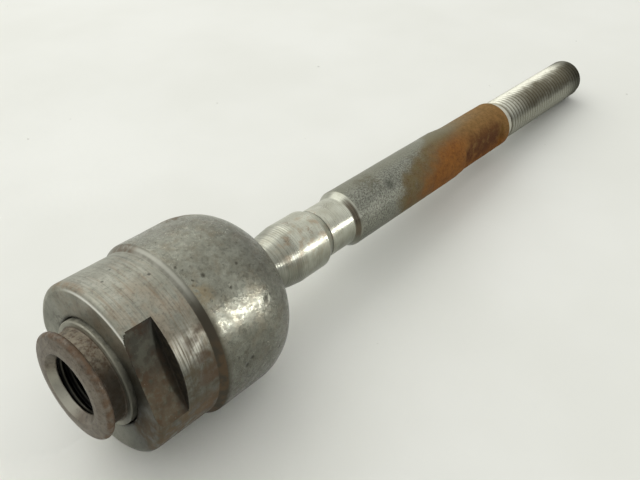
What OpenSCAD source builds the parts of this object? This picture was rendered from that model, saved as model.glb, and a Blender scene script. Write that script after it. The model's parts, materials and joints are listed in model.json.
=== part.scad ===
// Inner tie rod end: a ball joint with a female rack thread, a tie rod and its outer thread.
// Frame: the origin lies on the axis where the rack thread's full wall starts, just inside its
// countersink. X runs from there along the tie rod to its tip, and +Z is up. Millimetres.

/* [Rack connector] */
// Nominal diameter of the internal rack thread
rack_thread_d = 14; // [13:0.5:15]
// Pitch of the internal rack thread
rack_thread_pitch = 1.5; // [1:0.25:2]
// Length of the blind rack thread's full wall
rack_thread_len = 11.8; // [10:0.2:12.2]
// Depth of the countersink in front of it
countersink_len = 1.6; // [1:0.1:2]
// Outer diameter of the thin flange at the mouth
flange_d = 22.4; // [22:0.2:24]
// Thickness of that flange
flange_t = 2.1; // [1.9:0.1:2.6]
// Diameter of the neck behind the flange
neck_d = 19.4; // [18.4:0.2:20]
// Distance from the flange's front to the housing's front face
standoff = 6.2; // [5.6:0.2:8]

/* [Socket housing] */
// Diameter of the turned barrel
barrel_d = 36; // [35:0.5:37]
// Length of the turned barrel, from the front face to the shoulder
barrel_len = 13.9; // [13:0.1:15]
// Diameter of the forged dome
dome_d = 38; // [37.5:0.5:40]
// Radius of the arc that closes the dome towards the rod
dome_arc_r = 13.2; // [12.8:0.1:13.6]
// Distance from the front face to the centre of that arc
dome_arc_at = 26.5; // [26:0.1:27]
// Distance across the two wrench flats of the housing
housing_flats = 30.4; // [30:0.2:32]
// Length of the wrench flats, from the front face
housing_flat_len = 6.5; // [5:0.1:8]
// Turn of the housing's wrench flats about the X axis
housing_flat_turn = 26; // [0:1:90]

/* [Ball joint] */
// Diameter of the ball
ball_d = 22; // [21.6:0.1:22.2]
// Distance from the front face to the ball's centre
ball_at = 27; // [26.8:0.1:27.2]
// Gap between pieces that slide on each other
slide_gap = 0.2; // [0.15:0.05:0.2]

/* [Tie rod] */
// Overall length, from the flange's front to the rod's tip
total_len = 194; // [190:1:230]
// Diameter of the collar beside the boot groove
collar_d = 14.4; // [13.8:0.1:15]
// Diameter of the boot groove
groove_d = 12.3; // [11.8:0.1:12.8]
// Diameter of the shank
shank_d = 14.3; // [13.8:0.1:15]
// Diameter of the reduced section that holds the rod's wrench flats
grip_d = 13.3; // [13:0.1:13.6]
// Distance across the rod's wrench flats
rod_flats = 11; // [10.6:0.1:12]
// Nominal diameter of the rod's outer thread
rod_thread_d = 12; // [11:0.5:12]
// Length of the rod's outer thread
rod_thread_len = 44.5; // [36:0.5:48]

/* [Hidden] */
$fn = 96;

// Stations along X
mouth_x = -countersink_len;
tip_x = mouth_x + total_len;
face_x = mouth_x + standoff;
shoulder_x = face_x + barrel_len;
shoulder_len = 1.5;
dome_x = shoulder_x + shoulder_len;
dome_arc_x = face_x + dome_arc_at;
ball_x = face_x + ball_at;

// Rack connector
rack_minor_r = (rack_thread_d - 1.0825 * rack_thread_pitch) / 2;
countersink_r = rack_thread_d / 2 + 0.4;
flange_edge_r = 0.85;
flange_edge_at_r = flange_d / 2 - flange_edge_r;
flange_edge_at_x = mouth_x + flange_t - flange_edge_r;
flange_face_r = 8.6;
neck_r = neck_d / 2;
boss_r = 11.1;
boss_rise = 0.9;
boss_edge_r = 0.4;
fit_gap = 0.05;

// Housing
barrel_r = barrel_d / 2;
dome_r = dome_d / 2;
rim_r = 1.4;
lip_t = 2.6;
lip_hole_r = 11.9;
connector_bore_r = 13;
connector_seat_x = face_x + 9.5;
cavity_r = 12.6;
mouth_inner_r = 9.1;
mouth_outer_r = 10.4;
mouth_inner_x = ball_x + sqrt(cavity_r * cavity_r - mouth_inner_r * mouth_inner_r);
dome_arc_offset = dome_r - dome_arc_r;
mouth_outer_x = dome_arc_x + sqrt(dome_arc_r * dome_arc_r - pow(mouth_outer_r - dome_arc_offset, 2));

// Bearings, plate and disc springs
ball_r = ball_d / 2;
seat_r = ball_r + slide_gap;
seat_split = 0.4;
front_opening_at = 7.3;
rear_back_x = ball_x - seat_r - 1.6;
grease_hole_r = 2.5;
plate_t = 1.3;
plate_x = rear_back_x - slide_gap - plate_t;
spring_outer_r = 12;
spring_inner_r = 5.5;
spring_t = 0.9;
spring_cone = (plate_x - connector_seat_x - 2 * spring_t) / 2;

// Tie rod
stem_r = 5.2;
stem_end_x = ball_x + 15;
collar_x = face_x + 50.2;
collar_end_x = face_x + 58;
groove_x = face_x + 60.3;
groove_end_x = face_x + 68.3;
shank_x = face_x + 70.1;
tip_chamfer = 1.2;
tip_r = rod_thread_d / 2 - tip_chamfer;
thread_x = tip_x - rod_thread_len - tip_chamfer;
undercut_len = 2.6;
undercut_r = rod_thread_d / 2 - 0.4;
grip_end_x = thread_x - undercut_len;
grip_chamfer = 0.6;
grip_len = 21.6;
grip_x = grip_end_x - grip_len;
grip_taper = 5;
rod_flat_x = grip_x - 1.3;
rod_flat_len = grip_end_x - rod_flat_x - 3.7;
rod_flat_end_slope = 0.5;

// A solid of revolution about X: the child outline is drawn as (radius, station)
module turned() {
    rotate([0, 90, 0])
        rotate_extrude()
            children();
}

// Rectangle between two radii and two stations
module band(r0, r1, x0, x1) {
    translate([r0, x0])
        square([r1 - r0, x1 - x0]);
}

// Outer outline of the housing: rounded rim, barrel, shoulder, parallel dome and closing arc
module housing_outline() {
    band(0, barrel_r - rim_r, face_x, shoulder_x);
    band(0, barrel_r, face_x + rim_r, shoulder_x);
    translate([barrel_r - rim_r, face_x + rim_r])
        circle(r = rim_r);
    polygon([[0, shoulder_x], [barrel_r, shoulder_x], [dome_r, dome_x], [0, dome_x]]);
    band(0, dome_r, dome_x, dome_arc_x);
    band(0, dome_arc_offset, dome_arc_x - 1, mouth_outer_x);
    intersection() {
        translate([dome_arc_offset, dome_arc_x])
            circle(r = dome_arc_r);
        band(0, dome_r, dome_arc_x - 1, mouth_outer_x);
    }
}

// Two half-spaces beside the housing, open to the front face
module housing_wrench_cut() {
    for (side = [0, 180])
        rotate([side - housing_flat_turn, 0, 0])
            translate([face_x - 1, housing_flats / 2, -barrel_r])
                cube([housing_flat_len + 1, barrel_r, barrel_d]);
}

module socket_housing() {
    color("dimgray")
        difference() {
            turned()
                housing_outline();
            turned()
                band(0, lip_hole_r, face_x - 1, face_x + lip_t + 1);
            turned()
                band(0, connector_bore_r, face_x + lip_t, connector_seat_x);
            turned()
                band(0, cavity_r, connector_seat_x - 1, ball_x);
            translate([ball_x, 0, 0])
                sphere(r = cavity_r);
            turned()
                polygon([[0, mouth_inner_x - 1], [mouth_inner_r, mouth_inner_x - 1],
                         [mouth_inner_r, mouth_inner_x], [mouth_outer_r, mouth_outer_x],
                         [mouth_outer_r, mouth_outer_x + 1], [0, mouth_outer_x + 1]]);
            housing_wrench_cut();
        }
}

// Flanged spool in front of the housing, and the disc that the housing's rolled lip holds
module rack_connector() {
    color("rosybrown")
        difference() {
            turned() {
                polygon([[0, mouth_x], [flange_face_r, mouth_x],
                         [flange_edge_at_r, flange_edge_at_x - flange_edge_r],
                         [flange_edge_at_r, mouth_x + flange_t], [0, mouth_x + flange_t]]);
                translate([flange_edge_at_r, flange_edge_at_x])
                    circle(r = flange_edge_r);
                band(0, neck_r, mouth_x + flange_t - 0.1, face_x);
                band(0, boss_r - boss_edge_r, face_x - boss_rise, face_x + lip_t);
                band(0, boss_r, face_x - boss_rise + boss_edge_r, face_x + lip_t);
                translate([boss_r - boss_edge_r, face_x - boss_rise + boss_edge_r])
                    circle(r = boss_edge_r);
                band(0, connector_bore_r - fit_gap, face_x + lip_t, connector_seat_x);
            }
            turned()
                polygon([[0, mouth_x - 1], [countersink_r, mouth_x - 1], [countersink_r, mouth_x],
                         [rack_minor_r, 0], [rack_minor_r, rack_thread_len], [0, rack_thread_len]]);
        }
}

// Mouth-side bearing: a shell over the rod side of the ball, open for the stem
module front_bearing() {
    color("ivory")
        intersection() {
            difference() {
                translate([ball_x, 0, 0])
                    sphere(r = cavity_r - fit_gap);
                translate([ball_x, 0, 0])
                    sphere(r = seat_r);
            }
            turned()
                band(0, cavity_r, ball_x + seat_split, ball_x + front_opening_at);
        }
}

// Pressure-side bearing: a cup behind the ball with a grease hole in its floor
module rear_bearing() {
    color("ivory")
        difference() {
            turned()
                band(0, cavity_r - slide_gap, rear_back_x, ball_x - seat_split);
            translate([ball_x, 0, 0])
                sphere(r = seat_r);
            turned()
                band(0, grease_hole_r, rear_back_x - 1, ball_x);
        }
}

// Steel disc that spreads the springs' load over the rear bearing
module pressure_plate() {
    color("silver")
        turned()
            band(grease_hole_r, cavity_r - slide_gap, plate_x, plate_x + plate_t);
}

// Coned disc spring; lean is 1 when its outer edge sits further along X, -1 when its inner edge does
module disc_spring(x, lean) {
    inner_x = lean > 0 ? x : x + spring_cone;
    outer_x = lean > 0 ? x + spring_cone : x;
    turned()
        polygon([[spring_inner_r, inner_x], [spring_outer_r, outer_x],
                 [spring_outer_r, outer_x + spring_t], [spring_inner_r, inner_x + spring_t]]);
}

module outer_disc_spring() {
    color("gray")
        disc_spring(connector_seat_x, 1);
}

module inner_disc_spring() {
    color("gray")
        disc_spring(connector_seat_x + spring_cone + spring_t, -1);
}

// Outline of the rod from the ball's centre to the tip
module rod_outline() {
    polygon([
        [0, ball_x], [stem_r, ball_x], [stem_r, stem_end_x],
        [collar_d / 2 - 0.5, collar_x - 3.6], [collar_d / 2, collar_x],
        [collar_d / 2, collar_end_x], [groove_d / 2, groove_x],
        [groove_d / 2, groove_end_x], [shank_d / 2, shank_x],
        [shank_d / 2, grip_x - grip_taper], [grip_d / 2, grip_x],
        [grip_d / 2, grip_end_x - grip_chamfer], [grip_d / 2 - grip_chamfer, grip_end_x],
        [undercut_r, grip_end_x], [undercut_r, thread_x - 0.4],
        [rod_thread_d / 2, thread_x], [rod_thread_d / 2, tip_x - tip_chamfer],
        [tip_r, tip_x], [0, tip_x]
    ]);
}

// Wrench flats milled into both sides of the rod, with steep walls at both ends
module rod_wrench_cut() {
    depth = 2;
    lean = depth * rod_flat_end_slope;
    for (side = [0, 1])
        mirror([0, side, 0])
            translate([rod_flat_x, rod_flats / 2, -grip_d])
                linear_extrude(height = 2 * grip_d)
                    polygon([[0, 0], [rod_flat_len, 0], [rod_flat_len + lean, depth], [-lean, depth]]);
}

// Ball, stem, collar, boot groove, shank, wrench flats and outer thread in one forging
module tie_rod() {
    color("slategray")
        difference() {
            union() {
                translate([ball_x, 0, 0])
                    sphere(r = ball_r);
                turned()
                    rod_outline();
            }
            turned()
                band(0, ball_r, ball_x - ball_r - 1, ball_x - ball_r + 0.5);
            rod_wrench_cut();
        }
}

socket_housing();
rack_connector();
front_bearing();
rear_bearing();
pressure_plate();
inner_disc_spring();
outer_disc_spring();
tie_rod();
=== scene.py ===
"""Inner tie rod end: a ball joint with a female rack thread, a tie rod and its outer thread."""
import json
import math

import bmesh
import bpy
import numpy as np
from mathutils import Matrix, Vector, noise


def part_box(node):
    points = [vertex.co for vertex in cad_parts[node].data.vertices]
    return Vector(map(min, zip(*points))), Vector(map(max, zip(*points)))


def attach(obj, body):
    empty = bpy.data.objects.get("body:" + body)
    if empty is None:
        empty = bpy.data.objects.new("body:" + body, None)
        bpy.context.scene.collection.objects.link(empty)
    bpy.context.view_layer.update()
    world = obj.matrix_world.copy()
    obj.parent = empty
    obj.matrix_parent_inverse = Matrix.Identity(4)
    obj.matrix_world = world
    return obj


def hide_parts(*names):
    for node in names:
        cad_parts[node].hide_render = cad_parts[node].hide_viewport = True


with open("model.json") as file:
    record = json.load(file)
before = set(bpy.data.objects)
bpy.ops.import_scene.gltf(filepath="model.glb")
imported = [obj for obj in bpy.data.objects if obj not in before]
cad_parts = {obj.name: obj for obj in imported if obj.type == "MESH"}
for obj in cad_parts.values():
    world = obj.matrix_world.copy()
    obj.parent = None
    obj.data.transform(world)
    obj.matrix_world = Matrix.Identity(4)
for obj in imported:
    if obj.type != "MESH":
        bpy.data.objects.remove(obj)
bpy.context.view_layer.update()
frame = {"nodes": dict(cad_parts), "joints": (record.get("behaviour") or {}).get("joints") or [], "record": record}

scene = bpy.context.scene
MM = 0.001
TAU = 2 * math.pi

# ---------------------------------------------------------------- sizes, in mm, from the frame


def box_mm(node):
    """Lowest and highest corner of a CAD node in mm."""
    return tuple([c / MM for c in corner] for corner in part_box(node))


MOUNT = {m["name"]: m for m in frame["record"]["mounts"]}
JOINT = {j["name"]: j for j in frame["joints"]}
(FACE_X, _, _), (DOME_END_X, DOME_R, _) = box_mm("socket_housing")
MOUTH_X = box_mm("rack_connector")[0][0]
TIP_X = box_mm("tie_rod")[1][0]
BALL_X = JOINT["tilt"]["pos_m"][0] / MM
RACK_MINOR_R = MOUNT["rack_thread"]["dims"]["r_mm"]
RACK_LEN = MOUNT["rack_thread"]["dims"]["length_mm"]
ROD_CREST_R = MOUNT["rod_thread"]["dims"]["r_mm"]
GROOVE_R = MOUNT["boot_groove"]["dims"]["r_mm"]
GROOVE_LEN = MOUNT["boot_groove"]["dims"]["length_mm"]
GROOVE_X = MOUNT["boot_groove"]["pos_m"][0] / MM - GROOVE_LEN / 2

# sizes that the frame doesn't hold: as in part.scad, but for the lip, which closes round the disc
BARREL_R = DOME_R - 1.0
DOME_ARC_R = 13.2
LIP_R = 11.35
HOUSING_BORE_R = 13.0
CAVITY_R = 12.6
THROAT_R = 9.1
MOUTH_R = 10.4
BALL_R = 11.0
SINK_R = 7.4
FLANGE_FACE_R = 8.6
NECK_R = 9.7
DISC_R = 11.1
STEM_R = 5.2
COLLAR_R = 7.2
SHANK_R = 7.15
GRIP_R = 6.65
PLAIN_R = 5.6

# stations along X
BARREL_END_X = FACE_X + 13.9
DOME_X = BARREL_END_X + 1.5
DOME_ARC_X = FACE_X + 26.5
LIP_X = FACE_X + 2.6
BEAD_X = FACE_X - 0.9
SEAT_X = FACE_X + 9.5
COLLAR_X = FACE_X + 50.2
COLLAR_END_X = FACE_X + 58.0
SHANK_X = GROOVE_X + GROOVE_LEN + 1.8
THREAD_X = TIP_X - 45.7
GRIP_END_X = THREAD_X - 2.6
GRIP_X = GRIP_END_X - 21.6

# metric thread: share of the pitch and share of the depth, from crest to crest
PITCH = 1.5
EXTERNAL_DEPTH = 0.6134 * PITCH
INTERNAL_DEPTH = 0.5413 * PITCH
THREAD_SECTION = [(0, 0), (1 / 16, 0), (0.25, 0.52), (0.42, 1), (0.5, 1), (0.58, 1), (0.75, 0.52),
                  (15 / 16, 0)]

# wrench flats: distance from the axis, where they lie, and the azimuth of one normal
HOUSING_FLAT = 15.2
HOUSING_FLAT_END_X = FACE_X + 6.5
near_axis = MOUNT["housing_flat_near"]["axis"]
HOUSING_FLAT_AZ = math.degrees(math.atan2(near_axis[1], near_axis[2]))
ROD_FLAT = 5.5
ROD_FLAT_X = GRIP_X - 1.3
ROD_FLAT_END_X = GRIP_END_X - 3.7
NO_FLAT = 99.0  # a distance that cuts nothing off
# the flats' end wall: how far past the root each ring stands, and how much further from the axis
WALL = ((0.01, 0.8), (0.02, 1.5), (0.04, 2.1), (0.06, 2.6), (0.10, 3.0), (0.18, 3.4), (0.30, 4.2))
ROOT_FILLET = 0.25
EDGE_ROUNDING = 0.07

# wear: ridges on the stem, a dent in the shank, and the dome's pits (station, azimuth, radius, depth)
RIDGE_PITCH = 0.6
RIDGE_HEIGHT = 0.04
DENT_X, DENT_AZ = SHANK_X + 13.4, -35
DOME_PITS = ((FACE_X + 19.2, -27, 0.55, 0.22), (FACE_X + 26.4, -31, 0.4, 0.16),
             (FACE_X + 15.9, -15, 0.4, 0.15), (FACE_X + 22.4, -41, 0.4, 0.15),
             (FACE_X + 28.4, -58, 0.5, 0.16), (FACE_X + 20.2, -89, 0.55, 0.18),
             (FACE_X + 21.6, -86, 0.5, 0.15), (FACE_X + 17.6, -35, 0.35, 0.12))
SMALL_PITS = 70
PIT_SEED = 7

# columns of vertices round the axis: the export thins a piece above 196,000 triangles
HOUSING_COLUMNS = 348
CONNECTOR_COLUMNS = 256
ROD_COLUMNS = 140
WELD = 0.0012  # vertices closer than this become one

# material indices on the three new pieces
TURNED, FLAT, RECESS, SHOULDER, FORGED = range(5)
BORE, SPOOL = range(2)
BRIGHT, SHANK, THREAD = range(3)

# ---------------------------------------------------------------- shapes


def rounded(corners, step=0.5, arc=6):
    """Points along a profile of (x, r, fillet) corners, each corner rounded and long runs divided."""
    pts = [Vector(c[:2]) for c in corners]
    out = [pts[0]]
    for i in range(1, len(pts) - 1):
        a, p, b = pts[i - 1], pts[i], pts[i + 1]
        into, away = (p - a), (b - p)
        turn = into.angle(away, 0.0)
        if corners[i][2] <= 0 or turn < 1e-4:
            out.append(p)
            continue
        reach = corners[i][2] * math.tan(turn / 2)
        reach = min(reach, 0.49 * into.length, 0.49 * away.length)
        start, end = p - into.normalized() * reach, p + away.normalized() * reach
        for k in range(arc + 1):
            t = k / arc
            out.append(start * (1 - t) ** 2 + p * 2 * t * (1 - t) + end * t ** 2)
    out.append(pts[-1])
    dense = [out[0]]
    for a, b in zip(out[:-1], out[1:]):
        parts = max(1, math.ceil((b - a).length / step - 1e-6))
        dense += [a.lerp(b, k / parts) for k in range(1, parts + 1)]
    return np.array([[p.x, p.y] for p in dense])


def arc_points(cx, cr, radius, start, end, count):
    """Points on a circle in the (x, r) plane; angles in degrees, 0 along +r and 90 along +x."""
    a = np.radians(np.linspace(start, end, count))
    return [(cx + radius * math.sin(t), cr + radius * math.cos(t), 0) for t in a]


def smooth(v, lo, hi):
    """0 at lo, 1 at hi, with soft ends."""
    t = np.clip((v - lo) / (hi - lo), 0, 1)
    return t * t * (3 - 2 * t)


def soft_min(a, b, k):
    """The smaller of a and b, with the edge between them rounded over about k."""
    low = np.minimum(a, b)
    return low - k * np.log(np.exp((low - a) / k) + np.exp((low - b) / k))


class Turned:
    """Collects the patches of one closed turned surface and joins them into a single mesh.

    Azimuths run from +Z towards +Y.
    """

    def __init__(self, columns):
        self.columns = columns
        self.az = np.arange(columns) * TAU / columns
        self.verts, self.faces, self.mats, self.count = [], [], [], 0

    def add(self, x, r, az, faces, mats):
        """Vertices at x, r and az, with faces that count from the first of them."""
        co = np.stack([x, r * np.sin(az), r * np.cos(az)], axis=-1).reshape(-1, 3)
        self.verts.append(co)
        self.faces.append(faces + self.count)
        self.mats.append(mats)
        self.count += len(co)

    def rings(self, x, r, mats, loop=False):
        """One ring of vertices per station. x and r have a row per station, and mats a row per gap."""
        n, m = len(x), self.columns
        x = np.broadcast_to(np.reshape(x, (n, -1)), (n, m))
        r = np.broadcast_to(np.reshape(r, (n, -1)), (n, m))
        i = np.arange(n if loop else n - 1)[:, None]
        j = np.arange(m)[None, :]
        i2, j2 = (i + 1) % n, (j + 1) % m
        faces = np.stack(np.broadcast_arrays(i * m + j, i * m + j2, i2 * m + j2, i2 * m + j), -1)
        mats = np.broadcast_to(np.reshape(mats, (-1, 1)) if np.ndim(mats) < 2 else mats, faces.shape[:2])
        self.add(x, r, np.broadcast_to(self.az, (n, m)), faces.reshape(-1, 4), mats.reshape(-1))

    def screw(self, x_lo, x_hi, radius_at, mat):
        """A right-hand thread between two planes; its overrun folds flat on them."""
        m, n = self.columns, len(THREAD_SECTION)
        share, depth = np.array(THREAD_SECTION).T
        turns = math.ceil((x_hi - x_lo) / PITCH) + 3
        k = np.arange(turns * m + 1)
        x = x_lo + (k[:, None] / m - 2 + share[None, :]) * PITCH
        x = np.clip(x, x_lo, x_hi)
        r = radius_at(x, np.broadcast_to(depth, x.shape))
        az = np.broadcast_to((-k * TAU / m)[:, None], x.shape)
        i = np.arange(len(k) - m - 1)[:, None]
        s = np.arange(n)[None, :]
        up, up_row = (s + 1) % n, i + m * ((s + 1) // n)
        faces = np.stack(np.broadcast_arrays(
            i * n + s, (i + 1) * n + s, (up_row + 1) * n + up, up_row * n + up), -1).reshape(-1, 4)
        self.add(x, r, az, faces, np.full(len(faces), mat))

    def make(self, name, body, node, materials):
        """The joined mesh as an object that stands for a CAD node."""
        mesh = bpy.data.meshes.new(name)
        mesh.from_pydata((np.concatenate(self.verts) * MM).tolist(), [], np.concatenate(self.faces).tolist())
        mesh.polygons.foreach_set("material_index", np.concatenate(self.mats).astype(np.int32))
        bm = bmesh.new()
        bm.from_mesh(mesh)
        bmesh.ops.remove_doubles(bm, verts=bm.verts, dist=WELD * MM)
        bmesh.ops.delete(bm, geom=[v for v in bm.verts if not v.link_faces], context="VERTS")
        bmesh.ops.recalc_face_normals(bm, faces=bm.faces)
        for f in bm.faces:
            f.smooth = True
        bm.to_mesh(mesh)
        bm.free()
        for m in materials:
            mesh.materials.append(m)
        piece = bpy.data.objects.new(name, mesh)
        scene.collection.objects.link(piece)
        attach(piece, body)
        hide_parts(node)


def relief(x, az, r, size, amount, seed):
    """Soft unevenness of a surface, one value per vertex."""
    y, z = r * np.sin(az), r * np.cos(az)
    pts = np.stack([x, y, z], -1).reshape(-1, 3) / size + seed
    flat = np.array([noise.noise(Vector(p)) for p in pts])
    return amount * flat.reshape(x.shape)


def dimple(x, az, r, at_x, at_az, long, wide, depth):
    """A dent at one place: how far the surface sinks there."""
    across = r * ((az - math.radians(at_az) + math.pi) % TAU - math.pi)
    return depth * np.exp(-((x - at_x) / long) ** 2 - (across / wide) ** 2)


# ---------------------------------------------------------------- materials


def tone(red, green, blue):
    """A display colour, 0 to 255, as linear values."""
    def one(v):
        v /= 255
        return v / 12.92 if v <= 0.04045 else ((v + 0.055) / 1.055) ** 2.4
    return (one(red), one(green), one(blue), 1)


class Look:
    """Writes one procedural material. Its lengths are mm on the object."""

    def __init__(self, name, specular=0.5):
        self.material = bpy.data.materials.new(name)
        self.material.use_nodes = True
        self.tree = self.material.node_tree
        self.shader = self.tree.nodes["Principled BSDF"]
        self.shader.inputs["Specular IOR Level"].default_value = specular
        scale = self.node("ShaderNodeVectorMath", operation="SCALE")
        self.link(self.node("ShaderNodeTexCoord").outputs["Object"], scale.inputs[0])
        scale.inputs["Scale"].default_value = 1 / MM
        self.place = scale.outputs[0]
        split = self.node("ShaderNodeSeparateXYZ")
        self.link(self.place, split.inputs[0])
        self.x, self.y, self.z = split.outputs
        self.r = self.calc("SQRT", self.add(self.both(self.y, self.y), self.both(self.z, self.z)))
        self.colour = self.normal = None

    def node(self, kind, **settings):
        """A new node of that kind with those settings."""
        made = self.tree.nodes.new(kind)
        for key, value in settings.items():
            setattr(made, key, value)
        return made

    def link(self, source, target):
        """Feeds a socket from another one, or sets it to a number or colour."""
        if hasattr(source, "is_output"):
            self.tree.links.new(source, target)
        else:
            target.default_value = source

    def calc(self, operation, a, b=0.0, c=0.0):
        """The result of one Math node."""
        made = self.node("ShaderNodeMath", operation=operation)
        for value, socket in zip((a, b, c), made.inputs):
            self.link(value, socket)
        return made.outputs[0]

    def add(self, a, b):
        """The sum of two values."""
        return self.calc("ADD", a, b)

    def both(self, *values):
        """The product of several masks or numbers."""
        out = values[0]
        for v in values[1:]:
            out = self.calc("MULTIPLY", out, v)
        return out

    def either(self, *values):
        """The larger of several masks."""
        out = values[0]
        for v in values[1:]:
            out = self.calc("MAXIMUM", out, v)
        return out

    def step(self, value, lo, hi):
        """0 at lo and 1 at hi; lo may be the larger."""
        made = self.node("ShaderNodeMapRange", interpolation_type="SMOOTHSTEP")
        self.link(value, made.inputs["Value"])
        made.inputs["From Min"].default_value = lo
        made.inputs["From Max"].default_value = hi
        return made.outputs[0]

    def band(self, value, lo, hi, soft):
        """1 between lo and hi, with edges that soft."""
        return self.both(self.step(value, lo - soft, lo + soft), self.step(value, hi + soft, hi - soft))

    def towards(self, az):
        """The cosine of the angle from the azimuth az, measured from +Z towards +Y."""
        a = math.radians(az)
        dot = self.add(self.both(self.y, math.sin(a)), self.both(self.z, math.cos(a)))
        return self.calc("DIVIDE", dot, self.calc("MAXIMUM", self.r, 0.01))

    def facing(self, az, half, soft):
        """1 within half degrees of the azimuth az."""
        outer = math.cos(math.radians(min(half + soft, 180)))
        inner = math.cos(math.radians(max(half - soft, 0)))
        return self.step(self.towards(az), outer, inner)

    def spot(self, at_x, at_az, at_r, size, soft):
        """1 in a round spot on the surface."""
        a = math.radians(at_az)
        made = self.node("ShaderNodeVectorMath", operation="DISTANCE")
        self.link(self.place, made.inputs[0])
        made.inputs[1].default_value = (at_x, at_r * math.sin(a), at_r * math.cos(a))
        return self.step(made.outputs["Value"], size + soft, max(size - soft, 0))

    def grain(self, size, detail=3, rough=0.55, stretch=(1, 1, 1), shift=(0, 0, 0)):
        """Noise from 0 to 1 with features of that size, drawn out by stretch."""
        moved = self.node("ShaderNodeVectorMath", operation="MULTIPLY_ADD")
        self.link(self.place, moved.inputs[0])
        moved.inputs[1].default_value = [1 / (size * s) for s in stretch]
        moved.inputs[2].default_value = shift
        made = self.node("ShaderNodeTexNoise")
        self.link(moved.outputs[0], made.inputs["Vector"])
        made.inputs["Scale"].default_value = 1
        made.inputs["Detail"].default_value = detail
        made.inputs["Roughness"].default_value = rough
        return made.outputs[0]

    def lines(self, size, length=14, detail=2, shift=(0, 0, 0)):
        """Noise drawn out round the axis, as a cutting tool leaves it."""
        return self.grain(size, detail, 0.6, (1, length / size, length / size), shift)

    def mix(self, share, a, b):
        """The colour a where share is 0 and b where it is 1."""
        made = self.node("ShaderNodeMix", data_type="RGBA")
        self.link(share, made.inputs[0])
        self.link(a, made.inputs[6])
        self.link(b, made.inputs[7])
        return made.outputs[2]

    def base(self, share, a, b):
        """The first colour: a where share is 0 and b where it is 1."""
        self.colour = self.mix(share, a, b)

    def cover(self, over, strength, *masks):
        """Lays another colour over it, at that strength, where all the masks are 1."""
        self.colour = self.mix(self.both(*masks, strength), self.colour, over)

    def dim(self, dark, *masks):
        """Multiplies the colour by dark where all the masks are 1."""
        grey = self.lerp(self.both(*masks), 1, dark)
        made = self.node("ShaderNodeVectorMath", operation="SCALE")
        self.link(self.colour, made.inputs[0])
        self.link(grey, made.inputs["Scale"])
        self.colour = made.outputs[0]

    def lerp(self, share, a, b):
        """The number a where share is 0 and b where it is 1."""
        return self.calc("MULTIPLY_ADD", share, b - a, a)

    def swing(self, share, reach):
        """From -reach to reach as share goes from 0 to 1."""
        return self.lerp(share, -reach, reach)

    def bump(self, height, distance):
        """Adds a relief of that height in mm."""
        made = self.node("ShaderNodeBump")
        made.inputs["Distance"].default_value = distance * MM
        self.link(height, made.inputs["Height"])
        if self.normal:
            self.link(self.normal, made.inputs["Normal"])
        self.normal = made.outputs[0]

    def finish(self, metallic, roughness):
        """Ties the colour, the relief and these two, each a mask or a number, to the shader."""
        self.link(self.colour, self.shader.inputs["Base Color"])
        self.link(metallic, self.shader.inputs["Metallic"])
        self.link(roughness, self.shader.inputs["Roughness"])
        if self.normal:
            self.link(self.normal, self.shader.inputs["Normal"])
        return self.material


RUST_ORANGE = tone(150, 97, 42)
RUST_BROWN = tone(96, 76, 52)
RUST_DARK = tone(92, 55, 31)
RUST_OLIVE = tone(112, 98, 60)
TAN = tone(146, 130, 98)
OIL = tone(38, 35, 26)


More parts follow.
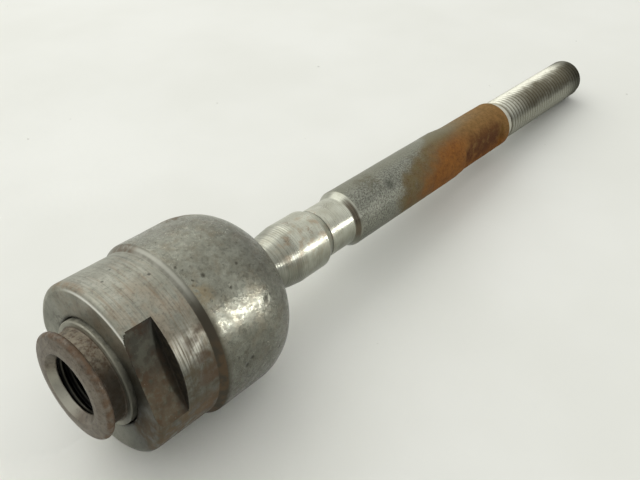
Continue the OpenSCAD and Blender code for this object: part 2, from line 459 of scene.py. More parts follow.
def turned_steel():
    """The housing's barrel and front: pale turned steel with tool lines and rust towards the underside."""
    m = Look("turned_steel", specular=0.3)
    cloud = m.step(m.grain(5.0, 4), 0.35, 0.65)
    m.base(cloud, tone(158, 158, 145), tone(142, 142, 129))
    warm = m.both(m.facing(-34, 24, 12), m.step(m.grain(4.0, 3, shift=(3, 1, 7)), 0.4, 0.62))
    m.cover(tone(152, 138, 118), 0.5, warm)
    streak = m.step(m.lines(0.35, 12), 0.44, 0.72)
    m.dim(0.734, streak)
    brown = m.both(m.step(m.lines(0.7, 9, 3, (7, 3, 0)), 0.5, 0.68), m.facing(-24, 40, 20))
    m.cover(tone(132, 114, 92), 0.45, brown)
    m.dim(0.66, m.step(m.grain(0.7, 4, 0.75, shift=(8, 2, 2)), 0.46, 0.72))
    # painted shade: the underside of the barrel and front made darker
    low = m.facing(-100, 50, 24)
    m.dim(0.4, low)
    murk = m.both(m.facing(-78, 26, 18), m.step(m.grain(2.0, 5, 0.7, shift=(3, 5, 2)), 0.36, 0.62))
    m.cover(tone(74, 66, 50), 0.8, murk)
    # painted highlight: a silvery glint on the barrel's lower side by the shoulder, streaked by tool lines
    painted_glint = m.both(m.spot(BARREL_END_X - 4.5, -58, BARREL_R, 2.6, 2.2), m.step(m.lines(0.4, 8), 0.4, 0.6))
    m.cover(tone(178, 178, 166), 0.6, painted_glint)
    blotch = m.step(m.grain(3.2, 4, 0.55, (1.2, 1, 1), (5, 2, 1)), 0.42, 0.64)
    rust = m.both(blotch, m.facing(-84, 34, 14), m.step(m.x, FACE_X + 7, FACE_X + 11.5))
    m.cover(tone(74, 56, 37), 0.75, rust)
    edge = m.both(m.facing(26, 16, 12), m.band(m.x, FACE_X + 0.2, FACE_X + 1.4, 0.8))
    edge_grain = m.step(m.grain(1.2, 4, shift=(9, 9, 2)), 0.3, 0.65)
    m.cover(tone(140, 104, 66), 0.5, edge, edge_grain)
    corner = m.both(m.facing(-110, 14, 9), m.step(m.grain(1.8, 4, shift=(1, 8, 3)), 0.36, 0.6))
    m.cover(RUST_BROWN, 0.6, corner)
    # painted shade: the front face made darker than the barrel
    front = m.both(m.step(m.x, FACE_X + 0.25, FACE_X + 0.05), m.step(m.r, 17.0, 16.6))
    m.dim(0.82, front)
    # painted highlight: a bright line round the barrel's front edge, on its upper side
    rim_highlight = m.both(m.band(m.r, 16.95, 17.35, 0.22), m.step(m.x, FACE_X + 0.7, FACE_X + 0.3),
                 m.facing(-22, 40, 14))
    m.cover(tone(232, 232, 224), 0.9, rim_highlight)
    dots = m.either(m.spot(BARREL_END_X - 2.1, -8, BARREL_R, 0.3, 0.15),
                    m.spot(BARREL_END_X - 6.0, 12, BARREL_R, 0.2, 0.12),
                    m.spot(BARREL_END_X - 9.2, 5, BARREL_R, 0.25, 0.2))
    m.cover(OIL, 0.75, dots)
    scuff = m.both(m.spot(FACE_X, 60, 12.2, 2.2, 1.2),
                   m.step(m.grain(1.5, 4, 0.7, shift=(4, 4, 1)), 0.44, 0.6))
    m.cover(tone(66, 60, 48), 0.6, scuff)
    # painted shade in the gap round the lip's hole
    m.dim(0.4, m.step(m.r, LIP_R + 0.9, LIP_R + 0.1))
    # painted shade on the lower side of the front face round the lip
    face_low_shade = m.both(m.facing(-76, 34, 20), m.step(m.r, 15.5, 12.0), m.step(m.x, FACE_X + 0.4, FACE_X + 0.2))
    m.dim(0.45, face_low_shade)
    rough = m.lerp(m.either(rust, edge, corner), 0.44, 0.75)
    rough = m.add(rough, m.swing(m.lines(0.15, 10), 0.1))
    metal = m.lerp(m.either(rust, corner, dots), 0.7, 0.25)
    m.bump(m.lines(0.16, 18, shift=(2, 0, 0)), 0.008)
    m.bump(m.grain(0.5, 4), 0.012)
    return m.finish(metal, rough)


def shoulder_steel():
    """The short cone between barrel and dome: a bright edge on top as a painted highlight, painted shade and rust
    below.
    """
    m = Look("shoulder_steel", specular=0.3)
    m.base(m.step(m.grain(1.5, 3), 0.4, 0.6), tone(132, 131, 120), tone(116, 115, 104))
    # painted highlight: a bright line along the top of the shoulder
    painted_top_line = m.both(m.band(m.x, BARREL_END_X + 0.55, BARREL_END_X + 1.15, 0.2), m.facing(-4, 30, 14))
    m.cover(tone(172, 172, 160), 0.7, painted_top_line)
    # painted shade: the lower side of the shoulder near black, and duller
    shoulder_underside = m.facing(-88, 52, 12)
    m.cover(tone(62, 57, 46), 1, shoulder_underside)
    rust = m.both(m.facing(-100, 34, 14), m.step(m.grain(2.2, 4, shift=(2, 5, 5)), 0.36, 0.6))
    m.cover(tone(88, 70, 48), 0.7, rust)
    stain = m.both(m.facing(30, 12, 6), m.step(m.grain(1.2, 3), 0.35, 0.55))
    m.cover(RUST_BROWN, 0.6, stain)
    m.bump(m.grain(0.4, 3), 0.01)
    return m.finish(m.lerp(shoulder_underside, 0.7, 0.3), m.lerp(shoulder_underside, 0.42, 0.7))


def forged_steel():
    """The dome: dark forged skin with fine grain, pits and tan stains."""
    m = Look("forged_steel", specular=0.4)
    cloud = m.step(m.grain(4.5, 4, 0.55), 0.34, 0.66)
    m.base(cloud, tone(142, 143, 130), tone(124, 124, 111))
    speck = m.step(m.grain(0.7, 4, 0.8, shift=(3, 3, 3)), 0.44, 0.68)
    m.dim(0.604, speck)
    pale = m.step(m.grain(0.6, 4, 0.75, shift=(8, 1, 3)), 0.54, 0.7)
    m.cover(tone(172, 171, 156), 0.4, pale)
    mottle = m.step(m.grain(1.6, 4, 0.65, shift=(2, 8, 5)), 0.46, 0.66)
    m.cover(tone(100, 94, 78), 0.4, mottle)
    tan = m.step(m.grain(4.0, 4, 0.6, shift=(1, 7, 2)), 0.5, 0.7)
    m.cover(tone(126, 112, 88), 0.3, tan)
    hole = m.step(m.grain(0.9, 2, 0.5, shift=(6, 2, 9)), 0.67, 0.74)
    m.cover(tone(52, 48, 38), 0.75, hole)
    named = m.either(*[m.spot(px, paz, DOME_R - 0.2, size * 0.8, size * 0.5)
                       for px, paz, size, _ in DOME_PITS])
    m.cover(tone(50, 46, 36), 0.8, named)
    patch = m.both(m.spot(DOME_X + 0.9, -36, DOME_R, 2.2, 1.4), m.step(m.grain(0.9, 3), 0.35, 0.6))
    m.cover(TAN, 0.5, patch)
    top = m.both(m.spot(DOME_ARC_X + 1.5, 32, DOME_R, 3.0, 1.6), m.step(m.grain(1.0, 4), 0.42, 0.58))
    m.cover(tone(98, 80, 56), 0.75, top)
    # painted shade: the dome's underside by the shoulder made dark; it is rougher there too
    foot = m.both(m.step(m.x, DOME_X + 1.6, DOME_X - 0.2), m.facing(-92, 48, 14))
    m.cover(tone(74, 66, 50), 0.7, foot)
    lip = m.step(m.x, DOME_END_X - 2.2, DOME_END_X - 0.3)
    m.dim(0.55, lip)
    # painted shade: the dome's underside and the lower side of its back made darker
    low = m.either(m.facing(-110, 40, 26),
                   m.both(m.facing(-72, 66, 24), m.step(m.x, DOME_ARC_X - 4, DOME_ARC_X + 6)))
    m.dim(0.58, low)
    rough = m.lerp(m.step(m.grain(0.9, 3, shift=(6, 6, 6)), 0.4, 0.65), 0.25, 0.44)
    rough = m.add(rough, m.both(m.either(patch, top, foot, hole), 0.3))
    m.bump(m.grain(0.5, 4, 0.65), 0.055)
    m.bump(m.grain(2.4, 3), 0.04)
    return m.finish(0.7, rough)


def milled_flat():
    """The wrench flats: green-grey milled steel under patches of brown rust."""
    m = Look("milled_flat", specular=0.3)
    m.base(m.step(m.grain(1.8, 4), 0.4, 0.6), tone(86, 85, 71), tone(66, 64, 51))
    patches = m.step(m.grain(3.0, 4, 0.55, shift=(4, 2, 8)), 0.42, 0.6)
    lower = m.facing(HOUSING_FLAT_AZ - 20, 24, 16)
    rust = m.both(m.either(patches, m.both(lower, 0.7)), m.step(m.grain(1.0, 4), 0.26, 0.56))
    m.cover(tone(80, 60, 40), 0.8, rust)
    pale = m.step(m.grain(0.5, 3, shift=(7, 7, 1)), 0.64, 0.76)
    m.cover(tone(140, 132, 114), 0.35, pale)
    # painted shade in the corner where the flat meets its end wall
    root = m.step(m.x, HOUSING_FLAT_END_X - 2.4, HOUSING_FLAT_END_X - 0.1)
    m.dim(0.4, root)
    m.dim(0.5, m.facing(HOUSING_FLAT_AZ + 30, 22, 18))
    m.bump(m.grain(0.6, 4), 0.025)
    return m.finish(m.lerp(rust, 0.5, 0.12), m.lerp(rust, 0.46, 0.8))


def painted_shade_wall():
    """The end wall of the flats, painted near black as shade."""
    m = Look("painted_shade_wall", specular=0.3)
    m.base(m.step(m.grain(0.8, 4), 0.4, 0.7), tone(34, 30, 23), tone(56, 50, 38))
    m.bump(m.grain(0.5, 3), 0.02)
    return m.finish(0.2, 0.6)


def connector_steel():
    """The flanged neck: brown-grey steel, rust on the neck, a bright bead, painted highlights on the neck and in
    the countersink, painted shade under the neck and bead.
    """
    m = Look("connector_steel", specular=0.3)
    cloud = m.step(m.grain(2.2, 4), 0.34, 0.66)
    m.base(cloud, tone(120, 112, 100), tone(104, 95, 83))
    fleck = m.step(m.grain(0.8, 4, 0.75, shift=(1, 1, 6)), 0.44, 0.68)
    m.dim(0.55, fleck)
    neck = m.band(m.x, MOUTH_X + 2.0, BEAD_X, 0.25)
    rust = m.both(m.either(neck, m.step(m.r, NECK_R + 0.5, NECK_R + 1.3)),
                  m.step(m.grain(1.6, 4, 0.6, shift=(2, 9, 4)), 0.38, 0.62))
    m.cover(tone(94, 70, 48), 0.7, rust)
    # painted highlight: pale patches laid only on the top of the neck
    pale = m.both(m.facing(0, 40, 20), neck)
    m.cover(tone(150, 142, 124), 0.85, pale, m.step(m.grain(0.9, 4, 0.7, shift=(9, 5, 1)), 0.36, 0.6))
    # painted shade: the neck's underside near black, and less metallic there
    neck_underside = m.both(neck, m.facing(-86, 40, 18))
    m.cover(tone(48, 42, 31), 0.8, neck_underside)
    bead = m.both(m.step(m.x, BEAD_X - 0.3, BEAD_X - 0.05), m.step(m.r, NECK_R + 0.2, NECK_R + 0.6))
    m.cover(tone(156, 155, 140), 0.85, bead)
    # painted shade on the underside of the bead
    m.dim(0.4, bead, m.facing(-90, 36, 20))
    sink = m.both(m.step(m.r, SINK_R + 0.1, SINK_R - 0.05), m.step(m.x, 0.1, -0.1))
    # painted highlight: the countersink made pale on one lower side and barely elsewhere
    sink_highlight = m.lerp(m.facing(138, 30, 26), 0.05, 0.85)
    m.cover(tone(176, 174, 160), 1, sink, sink_highlight)
    pits = m.step(m.grain(0.4, 3, 0.6, shift=(5, 5, 5)), 0.62, 0.72)
    m.cover(OIL, 0.5, pits)
    rough = m.add(m.lerp(rust, 0.46, 0.7), m.both(m.either(bead, sink), -0.12))
    m.bump(m.lines(0.2, 12), 0.006)
    m.bump(m.grain(0.5, 4), 0.025)
    return m.finish(m.lerp(m.either(rust, neck_underside), 0.6, 0.2), rough)


def bore_steel():
    """The rack thread: dark steel with paler crests, and painted shade deeper in the bore."""
    m = Look("bore_steel", specular=0.3)
    crest = m.step(m.r, RACK_MINOR_R + 0.35, RACK_MINOR_R + 0.05)
    m.base(crest, tone(22, 21, 18), tone(66, 64, 55))
    # painted shade: darker deeper into the bore
    m.dim(0.2, m.step(m.x, 0.3, 3.5))
    m.bump(m.grain(0.3, 3), 0.01)
    return m.finish(0.7, m.lerp(m.step(m.grain(0.8, 3), 0.4, 0.6), 0.3, 0.5))


def bright_steel():
    """The stem, collar and boot groove: bright turned steel, feed lines and light brown stains."""
    m = Look("bright_steel")
    cloud = m.step(m.grain(2.6, 4), 0.34, 0.66)
    m.base(cloud, tone(198, 199, 184), tone(180, 180, 164))
    stem = m.step(m.x, COLLAR_X + 0.5, COLLAR_X - 3)
    m.dim(0.78, stem)
    where = m.both(m.facing(-30, 44, 20), m.band(m.x, COLLAR_X - 5, GROOVE_X + 2, 2.5))
    stain = m.both(m.step(m.grain(1.9, 5, 0.62, shift=(6, 3, 2)), 0.48, 0.68), where)
    m.cover(tone(164, 144, 120), 0.6, stain)
    scuff = m.either(m.spot(COLLAR_X + 1.6, 6, COLLAR_R, 0.9, 0.9),
                     m.spot(COLLAR_X - 2.0, -22, COLLAR_R, 0.8, 1.2),
                     m.spot(COLLAR_X + 4.6, -33, COLLAR_R, 1.1, 1.0),
                     m.spot(GROOVE_X + 4.4, 4, GROOVE_R, 1.0, 1.1))
    scuff = m.both(scuff, m.step(m.grain(0.24, 3, 0.6, shift=(1, 2, 8)), 0.46, 0.66))
    m.cover(tone(92, 76, 58), 0.75, scuff)
    rings = m.both(m.step(m.lines(0.5, 60, 1, (0, 7, 0)), 0.4, 0.65),
                   m.step(m.x, COLLAR_X + 6, COLLAR_X - 2))
    m.dim(0.72, rings)
    scratch = m.step(m.lines(0.2, 7, shift=(4, 1, 4)), 0.5, 0.72)
    m.dim(0.82, scratch)
    # painted shade: the underside made darker
    low = m.facing(-112, 42, 18)
    m.dim(0.62, low)
    # painted shade in the notch at the start of the boot groove
    root = m.band(m.x, GROOVE_X - 0.1, GROOVE_X + 0.15, 0.12)
    m.dim(0.35, root)
    m.dim(0.72, m.step(m.x, SHANK_X - 1.9, SHANK_X - 1.6))
    # painted shade on the lower side of the step from the groove to the shank
    step_face = m.band(m.x, GROOVE_X + GROOVE_LEN + 0.1, SHANK_X - 0.45, 0.12)
    m.cover(tone(92, 82, 68), 0.85, step_face, m.facing(-60, 40, 12))
    rough = m.add(m.lerp(stain, 0.29, 0.48), m.swing(m.lines(0.3, 60, 1), 0.08))
    m.bump(m.lines(0.14, 20, shift=(0, 3, 0)), 0.006)
    return m.finish(1.0, rough)


def shank_steel():
    """The shank and wrench section: shot-blasted grey that turns to orange rust before the thread."""
    m = Look("shank_steel", specular=0.12)
    fine = m.grain(0.4, 3, 0.7)
    m.base(m.step(fine, 0.34, 0.68), tone(98, 99, 88), tone(158, 159, 147))
    cloud = m.step(m.grain(5, 3), 0.35, 0.65)
    m.dim(0.88, cloud)
    # rust creeps further back along the underside than along the top
    drift = m.swing(m.grain(6.0, 4, 0.6, shift=(2, 2, 7)), 12)
    side = m.both(m.towards(90), -17)
    front = m.add(m.add(m.x, side), drift)
    tint = m.step(m.grain(1.6, 4, 0.65, shift=(7, 3, 1)), 0.3, 0.7)
    olive = m.step(front, SHANK_X + 26, SHANK_X + 36)
    m.cover(m.mix(tint, RUST_OLIVE, tone(104, 84, 50)), 0.8, olive)
    orange = m.both(m.step(front, SHANK_X + 34, SHANK_X + 50), m.facing(-88, 66, 24))
    m.cover(m.mix(tint, RUST_ORANGE, tone(132, 84, 40)), 0.92, orange)
    top = m.both(m.step(m.x, GRIP_X - 6, GRIP_X + 6), m.facing(-20, 74, 24))
    m.cover(m.mix(tint, tone(144, 110, 66), tone(126, 97, 56)), 0.88, top)
    crown = m.both(m.facing(38, 34, 18), m.step(m.x, GRIP_END_X - 3, GRIP_X - 4))
    m.cover(tone(128, 128, 110), 0.6, crown)
    ragged = m.add(m.x, m.swing(m.grain(3.5, 4, 0.6, shift=(4, 1, 6)), 5))
    flat = m.both(m.band(ragged, ROD_FLAT_X + 1.5, ROD_FLAT_END_X - 1, 2.2), m.facing(-82, 26, 30))
    flat_grain = m.step(m.grain(2.6, 5, 0.62, shift=(3, 6, 2)), 0.26, 0.56)
    m.cover(RUST_DARK, 0.9, flat, flat_grain)
    crust = m.step(m.grain(0.6, 4, 0.75, shift=(5, 0, 2)), 0.45, 0.7)
    m.dim(0.66, crust, m.either(orange, top))
    dent = m.spot(DENT_X, DENT_AZ, SHANK_R, 1.3, 0.9)
    m.cover(tone(70, 72, 64), 0.5, dent)
    smudge = m.both(m.spot(SHANK_X + 9, -2, SHANK_R, 3.2, 2.4), m.step(m.grain(2, 3), 0.4, 0.6))
    m.cover(tone(88, 82, 60), 0.5, smudge)
    # painted shade: the underside a little darker
    m.dim(0.9, m.facing(-120, 42, 20))
    rust = m.either(orange, top, flat, m.both(olive, 0.7))
    rough = m.lerp(rust, 0.42, 0.85)
    rough = m.add(rough, m.swing(fine, 0.2))
    m.bump(fine, 0.11)
    m.bump(m.grain(0.9, 3, shift=(1, 1, 1)), 0.05)
    return m.finish(m.lerp(rust, 0.85, 0.05), rough)


def thread_steel():
    """The rod's thread: bright crests, a painted dark reflection along one side, painted shade underneath and
    brown roots.
    """
    m = Look("thread_steel")
    crest = m.step(m.r, ROD_CREST_R - 0.6, ROD_CREST_R - 0.15)
    m.base(crest, tone(142, 138, 122), tone(204, 204, 190))
    wander = m.swing(m.grain(4.0, 3, shift=(5, 1, 1)), 0.2)
    # painted dark reflection: a dark, rougher band along the side turned to the camera
    band = m.both(m.step(m.add(m.towards(-32), wander), 0.72, 0.97),
                  m.step(m.x, THREAD_X + 1, THREAD_X + 14))
    m.cover(tone(84, 76, 54), 0.8, band)
    # painted shade: the underside made darker
    low = m.facing(-112, 48, 22)
    m.dim(0.55, low)
    end = m.step(m.x, TIP_X - 12, TIP_X - 1.5)
    m.cover(tone(56, 55, 45), 0.8, end)
    speck = m.step(m.grain(0.8, 4, 0.65, shift=(2, 4, 6)), 0.54, 0.7)
    m.cover(tone(96, 86, 64), 0.35, speck)
    ring = m.step(m.x, THREAD_X + 0.6, THREAD_X - 0.4)
    m.cover(tone(206, 204, 190), 0.8, ring)
    rough = m.lerp(m.either(band, end), 0.32, 0.5)
    m.bump(m.grain(0.3, 3), 0.008)
    return m.finish(0.95, rough)


def resin():
    """The bearings: pale acetal with a faint moulded grain and grease."""
    m = Look("bearing_resin")
    m.base(m.step(m.grain(3, 3), 0.3, 0.7), tone(232, 228, 212), tone(214, 206, 182))
    m.bump(m.grain(0.5, 3), 0.01)
    return m.finish(0.0, m.lerp(m.step(m.grain(1.5, 2), 0.4, 0.6), 0.3, 0.5))


def plate_steel(name, light, dark, roughness):
    """Sheet steel with a brushed grain, for the pressure plate and the disc springs."""
    m = Look(name)
    m.base(m.step(m.lines(0.3, 8), 0.35, 0.65), light, dark)
    m.bump(m.lines(0.2, 8), 0.004)
    return m.finish(1.0, m.lerp(m.step(m.grain(2, 3), 0.4, 0.6), roughness, roughness + 0.15))


def sheet_white():
    """The pale floor: off-white with the faintest mottling and a few specks."""
    m = Look("pale_floor", specular=0.2)
    m.base(m.step(m.grain(60, 3), 0.3, 0.7), tone(236, 237, 231), tone(231, 232, 225))
    speck = m.step(m.grain(3.2, 2, 0.5, shift=(3, 3, 0)), 0.76, 0.80)
    m.cover(tone(150, 146, 136), 0.5, speck)
    m.bump(m.grain(30, 3), 0.25)
    return m.finish(0.0, 0.75)


# ---------------------------------------------------------------- pieces


def housing():
    """The socket housing: rolled lip, barrel with wrench flats, shoulder, dome and cavity."""
    shell = Turned(HOUSING_COLUMNS)
    mouth_turn = math.degrees(math.acos((MOUTH_R - (DOME_R - DOME_ARC_R)) / DOME_ARC_R))
    throat_turn = math.degrees(math.asin(THROAT_R / CAVITY_R))
    outside = [(FACE_X + 1.2, LIP_R, 0), (FACE_X, LIP_R, 0.6), (FACE_X, BARREL_R, 1.4),
               (BARREL_END_X, BARREL_R, 0.5), (DOME_X, DOME_R, 0.9), (DOME_X + 1.8, DOME_R, 0)]
    outside += arc_points(DOME_ARC_X, DOME_R - DOME_ARC_R, DOME_ARC_R, 0, mouth_turn, 44)
    outer = rounded(outside, 0.32)
    inside = [tuple(outer[-1]) + (0,)]
    inside += [(BALL_X + CAVITY_R * math.cos(math.radians(t)), CAVITY_R * math.sin(math.radians(t)), 0)
               for t in np.linspace(throat_turn, 90, 18)]
    inside += [(SEAT_X, CAVITY_R, 0), (SEAT_X, HOUSING_BORE_R, 0), (LIP_X, HOUSING_BORE_R, 0.2),
               (LIP_X, LIP_R, 0.1), (FACE_X + 1.2, LIP_R, 0)]
    inner = rounded(inside, 1.2)[1:]
    # rows of x, r and the flats' distance from the axis, with a small root fillet and the end wall
    wall = [(HOUSING_FLAT_END_X - ROOT_FILLET * (1 - math.sin(t)),
             HOUSING_FLAT + ROOT_FILLET * (1 - math.cos(t))) for t in np.linspace(0, math.pi / 2, 5)]
    wall += [(HOUSING_FLAT_END_X + dx, HOUSING_FLAT + d) for dx, d in WALL]
    first = [(x, r, HOUSING_FLAT) for x, r in outer if x < HOUSING_FLAT_END_X - ROOT_FILLET]
    middle = [(x, BARREL_R, d) for x, d in wall]
    last = [(x, r, NO_FLAT) for x, r in outer if x > HOUSING_FLAT_END_X + 0.4]
    rows = np.array(first + middle + last + [(x, r, NO_FLAT) for x, r in inner[:-1]])
    x, r, flat = (rows[:, k:k + 1] for k in range(3))
    az = shell.az[None, :]
    cosine = np.abs(np.cos(az - math.radians(HOUSING_FLAT_AZ)))
    reach = np.minimum(flat / np.maximum(cosine, 1e-3), NO_FLAT)
    cut = soft_min(r, reach, EDGE_ROUNDING)
    is_outer = np.arange(len(rows))[:, None] < len(first) + len(middle) + len(last)
    cut = np.where(is_outer & (r > HOUSING_FLAT - 1), cut, r)
    full_x, full_az = np.broadcast_arrays(x, az)
    dome = smooth(x, DOME_X - 0.3, DOME_X + 2.5) * is_outer * (r > MOUTH_R + 0.05)
    rough = relief(full_x, full_az, cut, size=7.0, amount=0.08, seed=3.7)
    rough = rough + relief(full_x, full_az, cut, size=1.6, amount=0.022, seed=9.1)
    for px, paz, size, depth in DOME_PITS:
        rough = rough - dimple(full_x, full_az, cut, px, paz, size * 1.3, size, depth)
    rng = np.random.default_rng(PIT_SEED)
    for _ in range(SMALL_PITS):
        px, paz = rng.uniform(DOME_X + 1, DOME_ARC_X + 9), rng.uniform(-180, 180)
        size = rng.uniform(0.18, 0.42)
        rough = rough - dimple(full_x, full_az, cut, px, paz, size, size, size * 0.3)
    cut = cut + dome * np.minimum(rough, 0.1)
    wall_x = HOUSING_FLAT_END_X - 0.05
    kind = np.full(cut.shape, TURNED)
    kind[is_outer & (reach < r) & (x < wall_x)] = FLAT
    kind[is_outer & (reach < r + 0.35) & (x >= wall_x) & (x < wall_x + 0.14)] = RECESS
    kind = np.where(is_outer & (x > BARREL_END_X - 0.1) & (x < DOME_X - 0.1), SHOULDER, kind)
    kind = np.where(is_outer & (x >= DOME_X - 0.1), FORGED, kind)
    shell.rings(x, cut, kind, loop=True)
    looks = [turned_steel(), milled_flat(), painted_shade_wall(), shoulder_steel(), forged_steel()]
    shell.make("housing_forging", "socket", "socket_housing", looks)


def connector():
    """The rack connector: blind rack thread, countersink, flange, neck, bead and the captive disc."""
    shell = Turned(CONNECTOR_COLUMNS)
    start_x, end_x = 0.05, RACK_LEN - 0.5

    def radius_at(x, depth):
        fade = smooth(x, start_x, start_x + 0.5) * (1 - smooth(x, end_x - 1.6, end_x))
        return RACK_MINOR_R + INTERNAL_DEPTH * depth * fade

    bottom = rounded([(RACK_LEN, 0, 0), (RACK_LEN, RACK_MINOR_R, 0.2), (end_x, RACK_MINOR_R, 0)], 1.0)
    shell.rings(bottom[:, 0], bottom[:, 1], BORE)
    shell.screw(start_x, end_x, radius_at, BORE)
    rim_r, rim_at_r, rim_x = 0.85, 10.35, MOUTH_X + 1.25
    spool = [(start_x, RACK_MINOR_R, 0), (MOUTH_X, SINK_R, 0.2), (MOUTH_X, FLANGE_FACE_R, 1.2)]
    spool += [(rim_x - rim_r * math.cos(t), rim_at_r + rim_r * math.sin(t), 0)
              for t in np.radians(np.linspace(8, 176, 15))]
    captive_r = HOUSING_BORE_R - 0.05
    spool += [(rim_x + rim_r, NECK_R, 0.45), (BEAD_X, NECK_R, 0.3), (BEAD_X, DISC_R, 0.4),
              (LIP_X, DISC_R, 0.05), (LIP_X, captive_r, 0.1), (SEAT_X, captive_r, 0.3), (SEAT_X, 0, 0)]
    rows = rounded(spool, 0.35)
    x, r = rows[:, :1], rows[:, 1:]
    wobble = relief(*np.broadcast_arrays(x, shell.az[None, :]), r, size=3.0, amount=0.03, seed=5.3)
    seen = (x < FACE_X) & (r > SINK_R + 0.4)
    shell.rings(x, r + wobble * seen, SPOOL)
    looks = [bore_steel(), connector_steel()]
    shell.make("connector_spool", "socket", "rack_connector", looks)


def tie_rod():
    """The tie rod: ball, stem, collar, boot groove, shank, wrench section and the rolled thread."""
    shell = Turned(ROD_COLUMNS)
    start_x, end_x, cap_len, cap_r = THREAD_X - 0.4, TIP_X - 0.1, 1.6, 4.4

    def cap(x):
        share = np.clip((x - (TIP_X - cap_len)) / cap_len, 0, 1)
        return cap_r + (ROD_CREST_R - cap_r) * np.sqrt(1 - share ** 2)

    def radius_at(x, depth):
        grow = smooth(x, start_x, start_x + 1.6)
        thread = ROD_CREST_R - EXTERNAL_DEPTH * depth
        return np.minimum(PLAIN_R + grow * (thread - PLAIN_R), cap(x))

    neck = math.degrees(math.asin(STEM_R / BALL_R))
    ball = [(BALL_X - BALL_R * math.cos(t), BALL_R * math.sin(t), 0)
            for t in np.radians(np.linspace(17, 180 - neck, 34))]
    front = [(ball[0][0], 0, 0)] + ball
    front += [(BALL_X + 15, STEM_R, 3.0), (COLLAR_X - 3.6, COLLAR_R - 0.5, 4.0), (COLLAR_X, COLLAR_R, 3.0)]
    front = rounded(front, 0.35)
    # the stem's ridges fade out on the collar
    stem_x = np.arange(COLLAR_X - 8, COLLAR_X + 2.5, RIDGE_PITCH / 4)
    stem_r = np.interp(stem_x, np.append(front[:, 0], COLLAR_X + 5), np.append(front[:, 1], COLLAR_R))
    ridge = RIDGE_HEIGHT * np.cos(stem_x * TAU / RIDGE_PITCH)
    stem_r = stem_r + ridge * (1 - smooth(stem_x, COLLAR_X, COLLAR_X + 2.3))
    rest = rounded([(stem_x[-1], COLLAR_R, 0), (COLLAR_END_X, COLLAR_R, 0.6),
                    (GROOVE_X - 0.25, GROOVE_R, 0.2), (GROOVE_X - 0.02, GROOVE_R - 0.13, 0.05),
                    (GROOVE_X + 0.2, GROOVE_R, 0.15), (GROOVE_X + GROOVE_LEN, GROOVE_R, 0.5),
                    (SHANK_X, SHANK_R, 0.15), (GRIP_X - 5, SHANK_R, 6.0), (GRIP_X, GRIP_R, 6.0),
                    (GRIP_END_X, GRIP_R, 0.7), (GRIP_END_X, PLAIN_R, 0.25), (start_x, PLAIN_R, 0)], 0.55)
    head = front[front[:, 0] < stem_x[0] - 0.02]
    rows = np.vstack([head, np.stack([stem_x, stem_r], 1), rest[1:]])
    # extra rings where the flats run out
    run_out = np.concatenate([ROD_FLAT_X + np.linspace(-0.8, 0.1, 8),
                              ROD_FLAT_END_X + np.linspace(-0.1, 0.8, 8)])
    extra = np.stack([run_out, np.interp(run_out, rest[:, 0], rest[:, 1])], 1)
    x = rows[:, 0]
    tail = x >= GRIP_END_X - 0.75
    shank = np.vstack([rows[(x >= SHANK_X) & ~tail], extra])
    rows = np.vstack([rows[x < SHANK_X], shank[np.argsort(shank[:, 0])], rows[tail]])
    x, r = rows[:, :1], rows[:, 1:]
    az = shell.az[None, :]
    lift = np.maximum(np.maximum(ROD_FLAT_X - x, x - ROD_FLAT_END_X), 0) * 1.2
    reach = (ROD_FLAT + lift) / np.maximum(np.abs(np.sin(az)), 1e-3)
    on_grip = (x > ROD_FLAT_X - 3) & (x < ROD_FLAT_END_X + 3)
    cut = np.where(on_grip, soft_min(r, np.minimum(reach, NO_FLAT), EDGE_ROUNDING), r)
    full_x, full_az = np.broadcast_arrays(x, az)
    blasted = smooth(x, SHANK_X + 0.3, SHANK_X + 2) * smooth(x, GRIP_END_X - 0.8, GRIP_END_X - 2)
    uneven = relief(full_x, full_az, cut, size=4.0, amount=0.03, seed=1.3)
    uneven = uneven + relief(full_x, full_az, cut, size=0.9, amount=0.02, seed=6.2)
    cut = cut + blasted * uneven
    cut = cut - dimple(full_x, full_az, cut, DENT_X, DENT_AZ, long=1.5, wide=1.1, depth=0.3)
    kind = np.where(x < SHANK_X - 0.1, BRIGHT, np.where(x < GRIP_END_X - 0.01, SHANK, THREAD))
    shell.rings(x, cut, kind[:-1])
    shell.screw(start_x, end_x, radius_at, THREAD)
    end = rounded([(end_x, float(cap(end_x)), 0), (TIP_X, cap_r, 0.1), (TIP_X, 0, 0)], 0.8)
    shell.rings(end[:, 0], end[:, 1], THREAD)
    looks = [bright_steel(), shank_steel(), thread_steel()]
    shell.make("tie_rod_forging", "rod", "tie_rod", looks)


def inner_pieces():
    """The CAD nodes inside the housing keep their shapes and get their own finishes."""
    pale = resin()
    finishes = {
        "front_bearing": pale,
        "rear_bearing": pale,
        "pressure_plate": plate_steel("plate_steel", tone(190, 190, 186), tone(168, 168, 164), 0.3),
        "inner_disc_spring": plate_steel("spring_steel", tone(120, 120, 124), tone(92, 92, 98), 0.35),
    }
    finishes["outer_disc_spring"] = finishes["inner_disc_spring"]
    for name, material in finishes.items():
        node = frame["nodes"][name]
        if not node.data.materials:
            node.data.materials.append(material)
        node.material_slots[0].material = material


# ---------------------------------------------------------------- stage, light and camera


FLOOR_TILT = 4.65
FLOOR_DROP = 21.5
FLOOR_HALF_M = 8
FLOOR_CELLS = 24
ROOM_BRIGHT_SIDE = Vector((0.1, 0.75, 0.66)).normalized()
ROOM_COLOUR = (1.0, 1.0, 0.98, 1)
ROOM_RAMP = {"From Min": -0.75, "From Max": 0.55, "To Min": 0.2, "To Max": 0.91}
PANE_Y = -300
PANE_WIDTH = 20
PANE_SPREAD = 14
PANE_SIDE = (-0.83, 0.56)  # the side of the part that the panes are turned to, in y and z
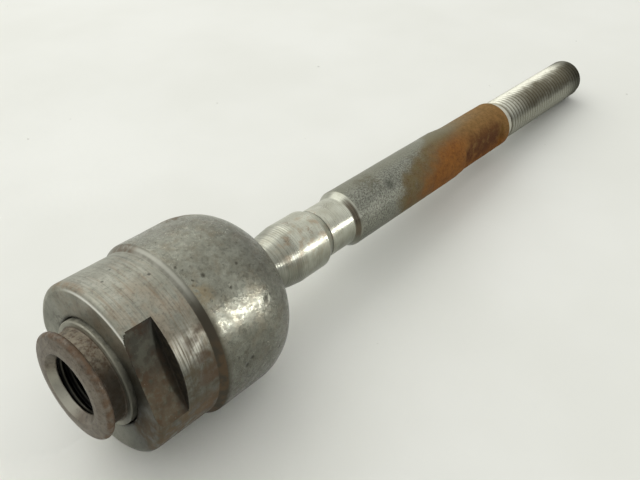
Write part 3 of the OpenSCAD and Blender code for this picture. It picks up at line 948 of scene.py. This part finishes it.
# for each pane, the station and radius that it is turned to, then its own x and z, length and power
PANES = ((BALL_X + 16.5, STEM_R, 44, 112, 30, 0.0006), (DOME_X + 4, DOME_R, 203, 100, 40, 0.003),
         (GROOVE_X - 2, GROOVE_R, 322, 102, 66, 0.0009), (SHANK_X + 10, SHANK_R, 387, 102, 56, 0.0006))
CAMERA_AT = (-46.944, -93.321, 106.344)
CAMERA_FORWARD = Vector((0.62318, 0.50886, -0.59389))
CAMERA_UP = Vector((0.42165, 0.42095, 0.80312))
CAMERA_LENS = 43.357
CAMERA_SENSOR = 36


def floor():
    """A pale sheet under the dome and the rod's tip, which the part rests on."""
    bm = bmesh.new()
    bmesh.ops.create_grid(bm, x_segments=FLOOR_CELLS, y_segments=FLOOR_CELLS, size=FLOOR_HALF_M)
    mesh = bpy.data.meshes.new("floor")
    bm.to_mesh(mesh)
    bm.free()
    mesh.materials.append(sheet_white())
    sheet = bpy.data.objects.new("floor", mesh)
    tilt = math.radians(FLOOR_TILT)
    sheet.location = Vector((math.sin(tilt), 0, -math.cos(tilt))) * FLOOR_DROP * MM
    sheet.rotation_euler = (0, -tilt, 0)
    scene.collection.objects.link(sheet)


def area_light(name, at, towards, size, power, colour=(1, 1, 1), spread=180):
    """A rectangular lamp at a place in mm, turned to a point in mm."""
    lamp = bpy.data.lights.new(name, "AREA")
    lamp.shape = "RECTANGLE"
    lamp.size, lamp.size_y = (s * MM for s in size)
    lamp.energy = power
    lamp.color = colour
    lamp.spread = math.radians(spread)
    lamp_object = bpy.data.objects.new(name, lamp)
    lamp_object.location = Vector(at) * MM
    aim = Vector(towards) - Vector(at)
    lamp_object.rotation_euler = aim.to_track_quat("-Z", "Y").to_euler()
    scene.collection.objects.link(lamp_object)


def studio():
    """Soft light from the upper left, four narrow panes on the right, and a dim room on that side."""
    world = bpy.data.worlds.new("room")
    world.use_nodes = True
    tree = world.node_tree
    coord = tree.nodes.new("ShaderNodeTexCoord")
    dot = tree.nodes.new("ShaderNodeVectorMath")
    dot.operation = "DOT_PRODUCT"
    dot.inputs[1].default_value = ROOM_BRIGHT_SIDE
    tree.links.new(coord.outputs["Generated"], dot.inputs[0])
    ramp = tree.nodes.new("ShaderNodeMapRange")
    ramp.interpolation_type = "SMOOTHSTEP"
    for key, value in ROOM_RAMP.items():
        ramp.inputs[key].default_value = value
    tree.links.new(dot.outputs["Value"], ramp.inputs["Value"])
    tree.links.new(ramp.outputs[0], tree.nodes["Background"].inputs["Strength"])
    tree.nodes["Background"].inputs["Color"].default_value = ROOM_COLOUR
    scene.world = world
    area_light("softbox", at=(30, 560, 640), towards=(80, 0, 0), size=(900, 760), power=2.3,
               colour=(1.0, 0.99, 0.97))
    # the panes shine back at the camera from the stem, the dome, the groove and the shank
    for pane, (part_x, part_r, at_x, at_z, long, power) in enumerate(PANES):
        towards = (part_x, PANE_SIDE[0] * part_r, PANE_SIDE[1] * part_r)
        area_light(f"pane_{pane}", (at_x, PANE_Y, at_z), towards, (long, PANE_WIDTH), power,
                   spread=PANE_SPREAD)
    scene.view_settings.view_transform = "Standard"


def camera():
    """The photograph's viewpoint: above and in front of the flange, looking along the rod."""
    lens = bpy.data.cameras.new("camera")
    lens.lens = CAMERA_LENS
    lens.sensor_width = CAMERA_SENSOR
    lens.clip_start, lens.clip_end = 0.005, 30
    eye = bpy.data.objects.new("camera", lens)
    right = CAMERA_FORWARD.cross(CAMERA_UP).normalized()
    up = right.cross(CAMERA_FORWARD).normalized()
    turn = Matrix((right, up, -CAMERA_FORWARD.normalized())).transposed()
    eye.matrix_world = Matrix.Translation(Vector(CAMERA_AT) * MM) @ turn.to_4x4()
    scene.collection.objects.link(eye)
    scene.camera = eye


housing()
connector()
tie_rod()
inner_pieces()
floor()
studio()
camera()
